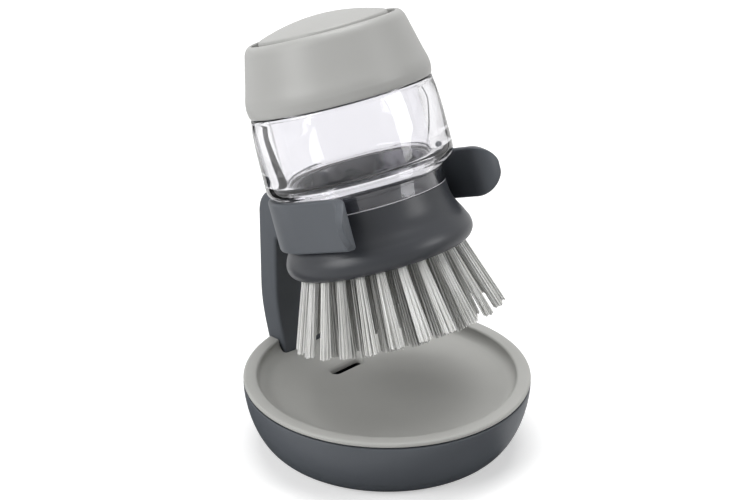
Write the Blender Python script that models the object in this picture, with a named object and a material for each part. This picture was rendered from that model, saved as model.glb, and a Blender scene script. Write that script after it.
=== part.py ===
"""Palm brush with a soap tank, resting in the cradle of its drip stand.

Metres, +Z up. The stand is turned about the Z axis, its post stands at +Y and its cradle opens to
-Y. The brush leans back to the post. Its pieces hang on the empty brush_axis, whose Z runs up the
brush from the centre of the head's underside, so a height below is measured from there.
"""

import math

import bmesh
import bpy
from mathutils import Vector

MM = 0.001
GAP = 0.3 * MM
OVERRUN = 1 * MM
MERGE = 0.003 * MM
SHARP_ANGLE = math.radians(35)

# Bowl and base pad
STAND_RADIUS = 50 * MM
BASE_RADIUS = 40 * MM
BOWL_TOP = 22.4 * MM
BOWL_WALL = 2.4 * MM
BOWL_FLOOR = 3.1 * MM
BOWL_BULGE_SHARE = 0.59
PAD_MARGIN = 3.2 * MM
PAD_THICKNESS = 1.4 * MM
PAD_PROUD = 0.5 * MM

# Drip tray
RIM_WIDTH = 5 * MM
RIM_THICKNESS = 1.8 * MM
TRAY_THICKNESS = 2 * MM
TRAY_DEPTH = 4.6 * MM
TRAY_FALL = 1.5 * MM
TRAY_FIT = 0.4 * MM
TRAY_FALL_SHARE = 0.33
DRAIN_Y = 20 * MM
DRAIN_LENGTH = 14.5 * MM
DRAIN_WIDTH = 4 * MM

# Post, its foot and its screws
POST_WIDTH = 21 * MM
POST_THICKNESS = 8.6 * MM
POST_INSET = 0.3 * MM
POST_LEAN = 4 * MM
POST_STRAIGHT_Z = 44 * MM
POST_EDGE = 1.3 * MM
POST_CROWN = 9 * MM
BRIDGE_REACH = 6 * MM
FOOT_LENGTH = 11 * MM
FOOT_HEIGHT = 6.5 * MM
SCREW_SPACING = 12 * MM
SCREW_RADIUS = 1.3 * MM
SCREW_LENGTH = 7 * MM
SCREW_HEAD_RADIUS = 2.6 * MM
SCREW_HEAD_HEIGHT = 1.2 * MM
SCREW_FLANK_SHARE = 0.6

# Where the brush rests and how far it leans
LEAN = math.radians(20.65)
BRUSH_Y = 2.3 * MM
BRUSH_Z = 68 * MM

# Cradle
BAND_BOTTOM = 10.8 * MM
BAND_HEIGHT = 17.4 * MM
BAND_THICKNESS = 3 * MM
BAND_EDGE = 1.3 * MM
BAND_FIT = 0.8 * MM
ARM_STRAIGHT = 20.3 * MM
FLARE_RADIUS = 6.2 * MM
FLARE_ANGLE = math.radians(88)

# Brush head
HEAD_HEIGHT = 20.4 * MM
HEAD_TOP_INSET = 0.1 * MM
HEAD_LIP_Z = 4.3 * MM
HEAD_CREASE_INSET = 1.3 * MM
HEAD_CREASE_Z = 8.2 * MM
HEAD_RIM_WALL = 1.2 * MM
HEAD_FLOOR = 2.4 * MM
HEAD_WALL = 2.2 * MM
HEAD_LEDGE = 1 * MM
BOSS_HEIGHT = 9.1 * MM
BOSS_WALL = 2 * MM
THREAD_ROOM = 0.6 * MM
HEAD_FLARE_SHARES = ((0, 0), (0.1, 0.29), (0.25, 0.51), (0.5, 0.7), (0.8, 0.87), (1, 1))
LIP_TOP_SHARES = ((0.46, 0.31), (0.85, 0.67), (1, 1))
LIP_BOTTOM_SHARES = ((0.07, 0.33), (0.3, 0.63), (0.63, 0.86), (1, 1))

# Bristles
PLATE_RADIUS = 28.3 * MM
PLATE_THICKNESS = 2.6 * MM
OUTER_RING_RADIUS = 26.9 * MM
RING_PITCH = 6.7 * MM
TUFT_PITCH = 7 * MM
BRISTLE_LENGTH = 29.3 * MM
# each ring's name, its length as a share of the longest and its outward splay as a share of that
TUFT_RING_SHARES = (("outer", 0.853, 0.336), ("middle", 0.956, 0.193), ("inner", 1, 0.099))
STRANDS_ROUND = 5
STRAND_SIDES = 3
STRAND_ROOT_RADIUS = 0.36 * MM
STRAND_TIP_RADIUS = 0.3 * MM
TUFT_ROOT_RADIUS = 0.9 * MM
TUFT_TIP_RADIUS = 1.35 * MM
STRAND_SEAT = 0.8 * MM
GOLDEN_ANGLE = math.pi * (3 - math.sqrt(5))

# Slit valve and its retainer
VALVE_BORE_RADIUS = 4.2 * MM
VALVE_FLANGE_RADIUS = 6.6 * MM
VALVE_FLANGE = 1 * MM
VALVE_NOSE_RADIUS = 3 * MM
VALVE_NOSE_DROP = 1.6 * MM
VALVE_WALL = 0.9 * MM
SLIT_WIDTH = 0.3 * MM
SLIT_LENGTH = 3 * MM

# Tank
TANK_RADIUS = 32.5 * MM
TANK_WALL = 6.5 * MM
TANK_HEIGHT = 35.4 * MM
TANK_FILLET = 1.2 * MM
SHOULDER_HEIGHT = 5.4 * MM
NECK_RADIUS = 27.3 * MM
NECK_HEIGHT = 4.9 * MM
NECK_WALL = 2.3 * MM
MOUTH_RADIUS = 27.5 * MM
MOUTH_HEIGHT = 10.7 * MM
MOUTH_WALL = 2.3 * MM
TANK_SIDE_SHARES = ((0, 0), (0.55, 0.25), (0.88, 0.6), (1, 1))
SHOULDER_SHARES = ((0, 0), (0.12, 0.26), (0.31, 0.44), (0.52, 0.59), (0.75, 0.74), (0.95, 0.88), (1, 1))
TANK_FILLET_SHARES = ((0, 0), (0.3, 0.7), (1, 1))

# Seals
NECK_GASKET_THICKNESS = 1 * MM
NECK_GASKET_WIDTH = 1.4 * MM
CAP_GASKET_THICKNESS = 1.2 * MM

# Cap
CAP_SEAM = 0.4 * MM
CAP_HEIGHT = 23.5 * MM
CAP_BASE_INSET = 1.1 * MM
CAP_BELLY_INSET = 0.6 * MM
CAP_BELLY_Z = 3.4 * MM
CAP_SHOULDER_WIDTH = 2.9 * MM
CAP_SHOULDER_DROP = 2.8 * MM
WELL_MARGIN = 2.6 * MM
WELL_SHELF = 1.3 * MM
CAP_LIP = 1 * MM
CAP_SIDE_SHARES = ((0, 0), (0.29, 0.28), (0.68, 0.66), (0.92, 0.86), (1, 1))
CAP_CORNER_SHARES = ((0, 0), (0.42, 0.14), (0.8, 0.48), (1, 1))

# Button
BUTTON_RADIUS = 22.3 * MM
BUTTON_PROUD = 0.6 * MM
BUTTON_RISE = 4 * MM
BUTTON_WALL = 1.6 * MM
BUTTON_EDGE = 0.9 * MM
BUTTON_TRAVEL = 3.5 * MM
BUTTON_FLANGE = 1.6 * MM
BUTTON_FLANGE_THICKNESS = 1.2 * MM
BUTTON_SEAT_DROP = 1 * MM
BUTTON_FIT = 0.4 * MM
STEM_FIT = 1.05 * MM
STEM_LENGTH = 13 * MM
DOME_SHARES = (0, 0.35, 0.65, 0.85)

# Pump
PUMP_PLATE = 1.8 * MM
PUMP_FIT = 0.4 * MM
CUP_RADIUS = 12.6 * MM
CUP_WALL = 1.6 * MM
CUP_DEPTH = 9.8 * MM
AIR_HOLE_RADIUS = 0.7 * MM
AIR_HOLES = 4
CHECK_RADIUS = 4.2 * MM
CHECK_THICKNESS = 0.6 * MM
CHECK_STEM_RADIUS = 1 * MM
CHECK_BEAD = 0.9 * MM
CHECK_FIT = 0.4 * MM
BELLOWS_FIT = 0.8 * MM
BELLOWS_FOLD = 2.2 * MM
BELLOWS_WALL = 0.9 * MM
BELLOWS_FOLDS = 4
BELLOWS_END = 1.6 * MM
SPRING_RADIUS = 4.9 * MM
SPRING_WIRE_RADIUS = 0.45 * MM
SPRING_TURNS = 6
SPRING_POINTS = 10

# Facets round a full turn, for large, middling, small and tiny pieces
BIG_SIDES = 40
ROUND_SIDES = 32
SMALL_SIDES = 16
TINY_SIDES = 8

# Heights and radii along the brush that several pieces share
RECESS_TOP = PLATE_THICKNESS + GAP
HEAD_FLOOR_TOP = RECESS_TOP + HEAD_FLOOR
NECK_BOTTOM = HEAD_HEIGHT + GAP
NECK_TOP = NECK_BOTTOM + NECK_HEIGHT
NECK_BORE = NECK_RADIUS - NECK_WALL
BOSS_RADIUS = NECK_BORE - THREAD_ROOM
HEAD_TOP_RADIUS = NECK_RADIUS - HEAD_TOP_INSET
HEAD_LIP_RADIUS = TANK_RADIUS
HEAD_CREASE_RADIUS = TANK_RADIUS - HEAD_CREASE_INSET
CAP_BASE_RADIUS = TANK_RADIUS - CAP_BASE_INSET
CAP_BELLY_RADIUS = TANK_RADIUS - CAP_BELLY_INSET
WELL_RADIUS = BUTTON_RADIUS + WELL_MARGIN
CAP_SHOULDER_RADIUS = WELL_RADIUS + CAP_SHOULDER_WIDTH
CAP_SEAT = NECK_BOTTOM + TANK_HEIGHT
MOUTH_TOP = CAP_SEAT + MOUTH_HEIGHT
CAP_BOTTOM = CAP_SEAT + CAP_SEAM
CAP_TOP = CAP_BOTTOM + CAP_HEIGHT
CAP_INNER_RADIUS = MOUTH_RADIUS + THREAD_ROOM
PUMP_PLATE_BOTTOM = MOUTH_TOP + CAP_GASKET_THICKNESS + 2 * GAP
PUMP_PLATE_TOP = PUMP_PLATE_BOTTOM + PUMP_PLATE
CUP_BOTTOM = PUMP_PLATE_BOTTOM - CUP_DEPTH
CUP_FLOOR = CUP_BOTTOM + CUP_WALL
CUP_BORE = CUP_RADIUS - CUP_WALL
BELLOWS_RADIUS = CUP_BORE - BELLOWS_FIT
BUTTON_BOTTOM = PUMP_PLATE_TOP + BUTTON_TRAVEL + GAP
SHELF_BOTTOM = BUTTON_BOTTOM + BUTTON_FLANGE_THICKNESS + GAP
BUTTON_EDGE_Z = CAP_TOP + BUTTON_PROUD
BUTTON_SEAT = BUTTON_EDGE_Z - BUTTON_SEAT_DROP

# Heights of the stand that several pieces share
BOWL_FLOOR_Z = PAD_PROUD + BOWL_FLOOR
RIM_BOTTOM = BOWL_TOP + GAP
RIM_TOP = RIM_BOTTOM + RIM_THICKNESS
FOOT_BOTTOM = BOWL_FLOOR_Z + GAP
BAND_TOP = BAND_BOTTOM + BAND_HEIGHT


def clear_scene():
    for old in list(bpy.data.objects):
        bpy.data.objects.remove(old, do_unlink=True)


def material(name, colour, roughness, metallic=0.0, alpha=1.0, transmission=0.0):
    """A Principled material with the part's colour, roughness and metallic value."""
    made = bpy.data.materials.new(name)
    made.use_nodes = True
    shader = made.node_tree.nodes["Principled BSDF"]
    shader.inputs["Base Color"].default_value = (*colour, 1.0)
    shader.inputs["Roughness"].default_value = roughness
    shader.inputs["Metallic"].default_value = metallic
    shader.inputs["Alpha"].default_value = alpha
    shader.inputs["Transmission Weight"].default_value = transmission
    made.diffuse_color = (*colour, alpha)
    return made


def slate_plastic(name):
    return material(name, (0.070, 0.080, 0.094), 0.55)


def pale_plastic(name):
    return material(name, (0.47, 0.47, 0.45), 0.5)


def clear_plastic(name):
    return material(name, (0.90, 0.90, 0.95), 0.06, alpha=0.35, transmission=0.9)


def silicone(name):
    return material(name, (0.62, 0.62, 0.60), 0.45)


def nylon(name):
    return material(name, (0.60, 0.60, 0.57), 0.4)


def rubber(name):
    return material(name, (0.045, 0.048, 0.052), 0.8)


def steel(name):
    return material(name, (0.56, 0.57, 0.58), 0.3, metallic=1.0)


def place(name, bm, finish, parent=None):
    """One named object from a bmesh, with its faces out, shaded smooth between its sharp edges."""
    bmesh.ops.recalc_face_normals(bm, faces=bm.faces)
    mesh = bpy.data.meshes.new(name)
    bm.to_mesh(mesh)
    bm.free()
    mesh.shade_smooth()
    mesh.set_sharp_from_angle(angle=SHARP_ANGLE)
    mesh.materials.append(finish)
    made = bpy.data.objects.new(name, mesh)
    made.parent = parent
    bpy.context.collection.objects.link(made)
    return made


def guide(made):
    """A cutter or a piece to join: it shapes another object and is left out itself."""
    made.hide_render = True
    made.display_type = "WIRE"
    return made


def combine(target, tool, operation="DIFFERENCE"):
    step = target.modifiers.new(tool.name, "BOOLEAN")
    step.operation = operation
    step.solver = "EXACT"
    step.object = tool


def along(shares, start, end):
    """Points of an outline between two named points, as shares of the way across and down."""
    return [
        (start[0] + across * (end[0] - start[0]), start[1] + down * (end[1] - start[1]))
        for across, down in shares
    ]


def radius_at(outline, z):
    """Radius of a falling outline at a height."""
    for (above, high), (below, low) in zip(outline, outline[1:]):
        if low <= z <= high:
            return above + (below - above) * (high - z) / (high - low)
    return outline[-1][0]


def turned_bmesh(outline, facets):
    """A solid turned about Z. The outline is closed, or its two ends lie on the axis."""
    bm = bmesh.new()
    points = [bm.verts.new((radius, 0, z)) for radius, z in outline]
    pairs = list(zip(points, points[1:]))
    if outline[0][0] > 0:
        pairs.append((points[-1], points[0]))
    edges = [bm.edges.new(pair) for pair in pairs]
    bmesh.ops.spin(
        bm,
        geom=points + edges,
        cent=(0, 0, 0),
        axis=(0, 0, 1),
        angle=math.tau,
        steps=facets,
        use_merge=True,
    )
    bmesh.ops.remove_doubles(bm, verts=bm.verts, dist=MERGE)
    return bm


def turned(name, outline, facets, finish, parent=None):
    return place(name, turned_bmesh(outline, facets), finish, parent)


def ring_outline(inner, outer, bottom, top):
    return [(inner, top), (outer, top), (outer, bottom), (inner, bottom)]


def cylinder(name, radius, bottom, top, x, y, facets, parent=None):
    """A round cutter that stands at x, y."""
    bm = turned_bmesh([(0, top), (radius, top), (radius, bottom), (0, bottom)], facets)
    bmesh.ops.translate(bm, verts=bm.verts, vec=(x, y, 0))
    return guide(place(name, bm, rubber(name), parent))


def prism_bmesh(outline, direction):
    """An outline of 3-D points, extruded along a direction."""
    bm = bmesh.new()
    face = bm.faces.new([bm.verts.new(point) for point in outline])
    grown = bmesh.ops.extrude_face_region(bm, geom=[face])["geom"]
    moved = [item for item in grown if isinstance(item, bmesh.types.BMVert)]
    bmesh.ops.translate(bm, verts=moved, vec=direction)
    return bm


def box(name, low, high, parent=None):
    """A square cutter between two corners."""
    bm = bmesh.new()
    bmesh.ops.create_cube(bm, size=1)
    bmesh.ops.scale(bm, verts=bm.verts, vec=Vector(high) - Vector(low))
    bmesh.ops.translate(bm, verts=bm.verts, vec=(Vector(high) + Vector(low)) / 2)
    return guide(place(name, bm, rubber(name), parent))


def bowl_radius(z, top_radius, base_radius, base_z):
    """Radius of the bowl's rounded side at a height: a soft quarter oval."""
    down = min(max((BOWL_TOP - z) / (BOWL_TOP - base_z), 0), 1)
    out = (1 - down ** (1 / BOWL_BULGE_SHARE)) ** BOWL_BULGE_SHARE
    return base_radius + (top_radius - base_radius) * out


def bowl_side(top_radius, base_radius, base_z, steps):
    """Points down the bowl's side, closest together where it turns under."""
    heights = [
        BOWL_TOP - (BOWL_TOP - base_z) * math.sin(math.pi / 2 * step / steps)
        for step in range(steps + 1)
    ]
    return [(bowl_radius(z, top_radius, base_radius, base_z), z) for z in heights]


def inner_bowl_radius(z):
    return bowl_radius(z, STAND_RADIUS - BOWL_WALL, BASE_RADIUS - BOWL_WALL, BOWL_FLOOR_Z)


def screw_places():
    """The two screws' x, and the y in the middle of the foot."""
    y = foot_back(FOOT_BOTTOM) - FOOT_LENGTH / 2
    return (-SCREW_SPACING / 2, y), (SCREW_SPACING / 2, y)


def pad_radius():
    """The base pad stops short of the screws' heads."""
    return math.hypot(*screw_places()[0]) - SCREW_HEAD_RADIUS - PAD_MARGIN


def make_bowl():
    outer = bowl_side(STAND_RADIUS, BASE_RADIUS, PAD_PROUD, 6)
    inner = bowl_side(STAND_RADIUS - BOWL_WALL, BASE_RADIUS - BOWL_WALL, BOWL_FLOOR_Z, 5)
    recess = pad_radius() + GAP
    recess_top = PAD_THICKNESS + GAP
    outline = [(0, BOWL_FLOOR_Z)] + inner[::-1] + outer
    outline += [(recess, PAD_PROUD), (recess, recess_top), (0, recess_top)]
    bowl = turned("stand_bowl", outline, BIG_SIDES, slate_plastic("bowl_plastic"))
    shank = SCREW_RADIUS + GAP
    head = SCREW_HEAD_RADIUS + GAP
    head_top = PAD_PROUD + SCREW_HEAD_HEIGHT + GAP
    for number, (x, y) in enumerate(screw_places()):
        hole = f"bowl_screw_hole_{number}"
        sink = f"bowl_screw_sink_{number}"
        combine(bowl, cylinder(hole, shank, -OVERRUN, FOOT_BOTTOM + OVERRUN, x, y, SMALL_SIDES))
        combine(bowl, cylinder(sink, head, -OVERRUN, head_top, x, y, SMALL_SIDES))


def make_pad():
    edge = pad_radius()
    outline = [(0, PAD_THICKNESS), (edge, PAD_THICKNESS), (edge, 0), (0, 0)]
    turned("base_pad", outline, BIG_SIDES, rubber("pad_rubber"))


def make_screws():
    """Pan-head screws, driven up through the bowl's floor into the foot."""
    neck = PAD_PROUD + SCREW_HEAD_HEIGHT
    flank = PAD_PROUD + SCREW_FLANK_SHARE * SCREW_HEAD_HEIGHT
    top = neck + SCREW_LENGTH
    outline = [(0, top), (SCREW_RADIUS, top - SCREW_RADIUS), (SCREW_RADIUS, neck)]
    outline += [(SCREW_HEAD_RADIUS, neck), (SCREW_HEAD_RADIUS, flank)]
    outline += [(SCREW_HEAD_RADIUS - SCREW_HEAD_HEIGHT / 2, PAD_PROUD), (0, PAD_PROUD)]
    for side, (x, y) in zip(("left", "right"), screw_places()):
        name = f"post_screw_{side}"
        screw = turned(name, outline, SMALL_SIDES, steel(f"{name}_steel"))
        screw.location = (x, y, 0)


def make_tray():
    """Dished tray: rolled rim on the bowl's edge, skirt inside it, drain slot and post notch."""
    edge = STAND_RADIUS
    roll = RIM_THICKNESS / 2
    dish = edge - RIM_WIDTH
    skirt = edge - BOWL_WALL - TRAY_FIT
    floor = RIM_TOP - TRAY_DEPTH
    centre = floor - TRAY_FALL
    under = floor - TRAY_THICKNESS
    rounding = [math.pi / 2 - math.pi * step / 4 for step in range(4)]
    outline = [(0, centre), (dish / 2, centre + TRAY_FALL_SHARE * TRAY_FALL)]
    outline += [(dish - TRAY_DEPTH / 2, floor), (dish - roll, floor + roll)]
    outline += [(dish, RIM_TOP - roll), (dish + roll, RIM_TOP)]
    outline += [
        (edge - roll + roll * math.cos(turn), RIM_TOP - roll + roll * math.sin(turn))
        for turn in rounding
    ]
    outline += [(edge - roll, RIM_BOTTOM), (skirt, RIM_BOTTOM)]
    outline += [(skirt - TRAY_FIT, under + TRAY_FIT), (skirt - TRAY_THICKNESS, under)]
    outline += [(dish / 2, under - TRAY_FALL + TRAY_FALL_SHARE * TRAY_FALL)]
    outline += [(0, centre - TRAY_THICKNESS)]
    tray = turned("drip_tray", outline, BIG_SIDES, pale_plastic("tray_plastic"))
    low = centre - TRAY_THICKNESS - OVERRUN
    slot = prism_bmesh(slot_outline(low), (0, 0, RIM_TOP - low))
    combine(tray, guide(place("drain_cutter", slot, rubber("drain_cutter"))))
    side = POST_WIDTH / 2 + TRAY_FIT
    front = post_inner(under) - TRAY_FIT
    corner = (side, edge + OVERRUN, RIM_TOP + OVERRUN)
    combine(tray, box("notch_cutter", (-side, front, low), corner))


def slot_outline(z):
    """The drain slot's round-ended outline."""
    radius = DRAIN_WIDTH / 2
    reach = DRAIN_LENGTH / 2 - radius
    turns = [math.pi * step / 6 for step in range(7)]
    right = [(reach + radius * math.sin(a), DRAIN_Y + radius * math.cos(a), z) for a in turns]
    left = [(-reach - radius * math.sin(a), DRAIN_Y - radius * math.cos(a), z) for a in turns]
    return right + left


def foot_back(z):
    """How far back the foot reaches at a height, clear of the bowl's wall at its corners."""
    wall = inner_bowl_radius(z)
    return math.sqrt(wall**2 - (POST_WIDTH / 2) ** 2) - 2 * GAP


def post_outer(z):
    """The post's outer face: flush with the bowl at its foot, then leaning out."""
    share = min(max((z - BOWL_TOP) / (POST_STRAIGHT_Z - BOWL_TOP), 0), 1)
    return STAND_RADIUS - POST_INSET + POST_LEAN * math.sin(share * math.pi / 2)


def post_inner(z):
    return post_outer(z) - POST_THICKNESS


def lean_point(y, z):
    """World y and z of a point in the brush's middle plane."""
    return (
        BRUSH_Y + z * math.sin(LEAN) + y * math.cos(LEAN),
        BRUSH_Z + z * math.cos(LEAN) - y * math.sin(LEAN),
    )


def band_inner_radius():
    """The band clears the head's flare where the flare meets its rounded lower edge."""
    return radius_at(head_flare(), BAND_BOTTOM + BAND_EDGE) + BAND_FIT


def foot_outline():
    """Side view of the foot: toe, back along the bowl's wall, and up to the bowl's edge."""
    toe = foot_back(FOOT_BOTTOM) - FOOT_LENGTH
    heights = [FOOT_BOTTOM + (BOWL_TOP - FOOT_BOTTOM) * step / 5 for step in range(6)]
    outline = [(toe, FOOT_BOTTOM)]
    outline += [(foot_back(z), z) for z in heights]
    outline += [(foot_back(BOWL_TOP), RIM_BOTTOM), (post_outer(RIM_BOTTOM), RIM_BOTTOM)]
    return outline


def post_outline():
    """Side view of foot, post and the bridge to the band, as world y and z."""
    root = band_inner_radius() + BAND_THICKNESS / 2
    bridge_low = BAND_BOTTOM + GAP
    bridge_high = BAND_TOP - GAP
    face = post_inner(POST_STRAIGHT_Z)
    back = post_outer(POST_STRAIGHT_Z)
    steps = [BOWL_TOP + (POST_STRAIGHT_Z - BOWL_TOP) * step / 4 for step in range(5)]
    # the bridge's underside follows the band's lower edge back to the post's inner face
    run = (face - BRUSH_Y - bridge_low * math.sin(LEAN)) / math.cos(LEAN)
    corner = lean_point(run, bridge_low)
    crown_front = lean_point(root + BRIDGE_REACH, bridge_high)
    crown_back = (back, crown_front[1] - POST_CROWN)
    outline = foot_outline()
    outline += [(post_outer(z), z) for z in steps[1:]]
    outline += [
        (
            crown_front[0] + (crown_back[0] - crown_front[0]) * math.cos(turn),
            crown_back[1] + (crown_front[1] - crown_back[1]) * math.sin(turn),
        )
        for turn in (math.pi / 2 * step / 4 for step in range(5))
    ]
    outline += [lean_point(root, bridge_high), lean_point(root, bridge_low)]
    outline += [lean_point(run - POST_EDGE, bridge_low), (face, corner[1] - POST_EDGE)]
    outline += [(post_inner(z), z) for z in steps[::-1]]
    foot_top = FOOT_BOTTOM + FOOT_HEIGHT
    toe = outline[0][0]
    outline += [(post_inner(foot_top), foot_top + POST_EDGE)]
    outline += [(post_inner(foot_top) - POST_EDGE, foot_top), (toe, foot_top)]
    return outline


def arm_stations():
    """Middle line of the band from its back to one tip: x, y and heading."""
    middle = band_inner_radius() + BAND_THICKNESS / 2
    stations = []
    for step in range(11):
        turn = math.pi / 2 * step / 10
        stations.append((middle * math.sin(turn), middle * math.cos(turn), turn))
    for step in range(1, 4):
        stations.append((middle, -ARM_STRAIGHT * step / 3, math.pi / 2))
    for step in range(1, 13):
        turn = FLARE_ANGLE * math.sin(math.pi / 2 * step / 12)
        across = FLARE_RADIUS * (1 - math.cos(turn))
        forward = FLARE_RADIUS * math.sin(turn)
        stations.append((middle + across, -ARM_STRAIGHT - forward, math.pi / 2 - turn))
    return stations


def ways_to_tip(stations):
    """Each station's distance from the tip, measured along the arm."""
    ways = [0]
    for here, after in zip(stations[-2::-1], stations[:0:-1]):
        ways.append(ways[-1] + math.dist(here[:2], after[:2]))
    return ways[::-1]


def band_section(x, y, heading, half):
    """Rounded section across the band: thin along the normal, tall along the brush."""
    edge = min(BAND_EDGE, half / 2)
    centre_z = BAND_BOTTOM + BAND_HEIGHT / 2
    loop = []
    for quarter, (side, up) in enumerate(((1, 1), (-1, 1), (-1, -1), (1, -1))):
        for step in range(3):
            turn = (quarter + step / 2) * math.pi / 2
            out = side * (BAND_THICKNESS / 2 - edge) + edge * math.cos(turn)
            rise = up * (half - edge) + edge * math.sin(turn)
            loop.append((x + out * math.sin(heading), y + out * math.cos(heading), centre_z + rise))
    return loop


def make_band(parent):
    """The open cradle ring with arms that flare outwards and end in full rounds."""
    right = arm_stations()
    left = [(-x, y, -heading) for x, y, heading in right[:0:-1]]
    ways = ways_to_tip(right)
    radius = BAND_HEIGHT / 2
    bm = bmesh.new()
    loops = []
    for (x, y, heading), away in zip(left + right, ways[:0:-1] + ways):
        inward = min(away + BAND_EDGE / 4, radius)
        half = math.sqrt(radius**2 - (radius - inward) ** 2)
        loops.append([bm.verts.new(point) for point in band_section(x, y, heading, half)])
    for first, second in zip(loops, loops[1:]):
        for here, after in zip(range(len(first)), [*range(1, len(first)), 0]):
            bm.faces.new((first[here], first[after], second[after], second[here]))
    bm.faces.new(loops[0])
    bm.faces.new(loops[-1][::-1])
    return guide(place("cradle_band", bm, slate_plastic("band_plastic"), parent))


def make_post(axis):
    """Post, foot, bridge and cradle band in one moulding."""
    outline = [(-POST_WIDTH / 2, y, z) for y, z in post_outline()]
    bm = prism_bmesh(outline, (POST_WIDTH, 0, 0))
    sides = [edge for edge in bm.edges if abs(edge.verts[0].co.x - edge.verts[1].co.x) < GAP]
    bmesh.ops.bevel(bm, geom=sides, offset=POST_EDGE, segments=2, profile=0.5, affect="EDGES")
    post = place("cradle_post", bm, slate_plastic("post_plastic"))
    combine(post, make_band(axis), "UNION")
    pilot_top = PAD_PROUD + SCREW_HEAD_HEIGHT + SCREW_LENGTH + GAP
    for number, (x, y) in enumerate(screw_places()):
        name = f"foot_screw_hole_{number}"
        bore = cylinder(name, SCREW_RADIUS + GAP, 0, pilot_top, x, y, SMALL_SIDES)
        combine(post, bore)


def head_flare():
    """The head's concave side, from its top down to the crease over the lip."""
    top = (HEAD_TOP_RADIUS, HEAD_HEIGHT)
    return along(HEAD_FLARE_SHARES, top, (HEAD_CREASE_RADIUS, HEAD_CREASE_Z))


def make_head(axis):
    """Flared head with its rolled lip, the threaded boss above and the bristle recess below."""
    flare = head_flare()
    crease = flare[-1]
    widest = (HEAD_LIP_RADIUS, HEAD_LIP_Z)
    recess = PLATE_RADIUS + GAP
    bore = BOSS_RADIUS - BOSS_WALL
    boss_top = HEAD_HEIGHT + BOSS_HEIGHT
    groove_bottom = HEAD_HEIGHT - NECK_GASKET_THICKNESS - GAP
    groove = BOSS_RADIUS + NECK_GASKET_WIDTH + 2 * GAP
    outline = [(bore, HEAD_FLOOR_TOP), (bore, boss_top), (BOSS_RADIUS, boss_top)]
    outline += [(BOSS_RADIUS, groove_bottom), (groove, groove_bottom), (groove, HEAD_HEIGHT)]
    outline += flare
    outline += along(LIP_TOP_SHARES, crease, widest)
    outline += along(LIP_BOTTOM_SHARES, widest, (recess + HEAD_RIM_WALL, 0))
    outline += [(recess, 0), (recess, RECESS_TOP)]
    outline += core_outline(flare, recess - HEAD_LEDGE, groove_bottom - HEAD_WALL)
    outline += [(VALVE_BORE_RADIUS, RECESS_TOP), (VALVE_BORE_RADIUS, HEAD_FLOOR_TOP)]
    turned("brush_head", outline, BIG_SIDES, slate_plastic("head_plastic"), axis)


def core_outline(flare, outer, top):
    """The hollow between boss and flare, open below, with an even wall behind the flare."""
    inside = [(radius - HEAD_WALL, z) for radius, z in flare[:-1] if z < top - HEAD_WALL]
    rising = [(min(radius, outer), z) for radius, z in inside[::-1]]
    edge = (radius_at(flare, top) - HEAD_WALL, top)
    return [(outer, RECESS_TOP)] + rising + [edge, (BOSS_RADIUS, top), (BOSS_RADIUS, RECESS_TOP)]


def make_slit_valve(axis):
    """Flanged silicone cup whose floor has a cross slit."""
    top = PLATE_THICKNESS
    shoulder = top - VALVE_FLANGE
    nose = -VALVE_NOSE_DROP
    floor = nose + 2 * VALVE_WALL
    inside = VALVE_NOSE_RADIUS - VALVE_WALL
    outline = [(0, floor), (inside, floor + inside / 2), (inside, top)]
    outline += [(VALVE_FLANGE_RADIUS, top), (VALVE_FLANGE_RADIUS, shoulder)]
    outline += [(VALVE_NOSE_RADIUS, shoulder), (VALVE_NOSE_RADIUS, nose + inside)]
    outline += [(inside, nose + VALVE_WALL / 2), (0, nose)]
    valve = turned("slit_valve", outline, SMALL_SIDES, silicone("slit_valve_silicone"), axis)
    long = SLIT_LENGTH / 2
    thin = SLIT_WIDTH / 2
    for name, x, y in (("slit_cutter_across", long, thin), ("slit_cutter_along", thin, long)):
        combine(valve, box(name, (-x, -y, nose - OVERRUN), (x, y, top), axis))


def make_retainer(axis):
    """Ring that holds the valve's flange up against the head's floor."""
    top = PLATE_THICKNESS
    lip = top - VALVE_FLANGE - GAP
    hole = VALVE_NOSE_RADIUS + GAP
    outer = plate_edges()[-1][0] - GAP
    inner = VALVE_FLANGE_RADIUS + GAP
    outline = [(inner, top), (outer, top), (outer, GAP)]
    outline += [(hole, GAP), (hole, lip), (inner, lip)]
    turned("valve_retainer", outline, SMALL_SIDES, slate_plastic("retainer_plastic"), axis)


def ring_radius(number):
    """Radius of a ring of tufts, counted from the outside."""
    return OUTER_RING_RADIUS - number * RING_PITCH


def plate_edges():
    """Inner and outer radius of each ring of the tuft block, from the outside in."""
    edges = []
    outer = PLATE_RADIUS
    for number in range(len(TUFT_RING_SHARES)):
        inner = ring_radius(number) - RING_PITCH / 2
        edges.append((inner, outer))
        outer = inner - GAP
    return edges


def add_strand(bm, root, tip):
    """One tapered bristle between two points."""
    line = tip - root
    turn = line.to_track_quat("Z", "Y").to_matrix().to_4x4()
    turn.translation = (root + tip) / 2
    bmesh.ops.create_cone(
        bm,
        cap_ends=True,
        segments=STRAND_SIDES,
        radius1=STRAND_ROOT_RADIUS,
        radius2=STRAND_TIP_RADIUS,
        depth=line.length,
        matrix=turn,
    )


def add_tuft(bm, angle, twist, radius, length, splay):
    """A centre strand and a round of others that part towards their tips."""
    out = Vector((math.cos(angle), math.sin(angle), 0))
    side = Vector((-math.sin(angle), math.cos(angle), 0))
    spots = [(0.0, 0.0)]
    for strand in range(STRANDS_ROUND):
        turn = twist + math.tau * strand / STRANDS_ROUND
        spots.append((math.cos(turn), math.sin(turn)))
    for across, around in spots:
        spread = out * across + side * around
        root = out * radius + spread * TUFT_ROOT_RADIUS
        tip = out * (radius + splay) + spread * TUFT_TIP_RADIUS - Vector((0, 0, length))
        add_strand(bm, root - (tip - root) * STRAND_SEAT / length, tip)


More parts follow.
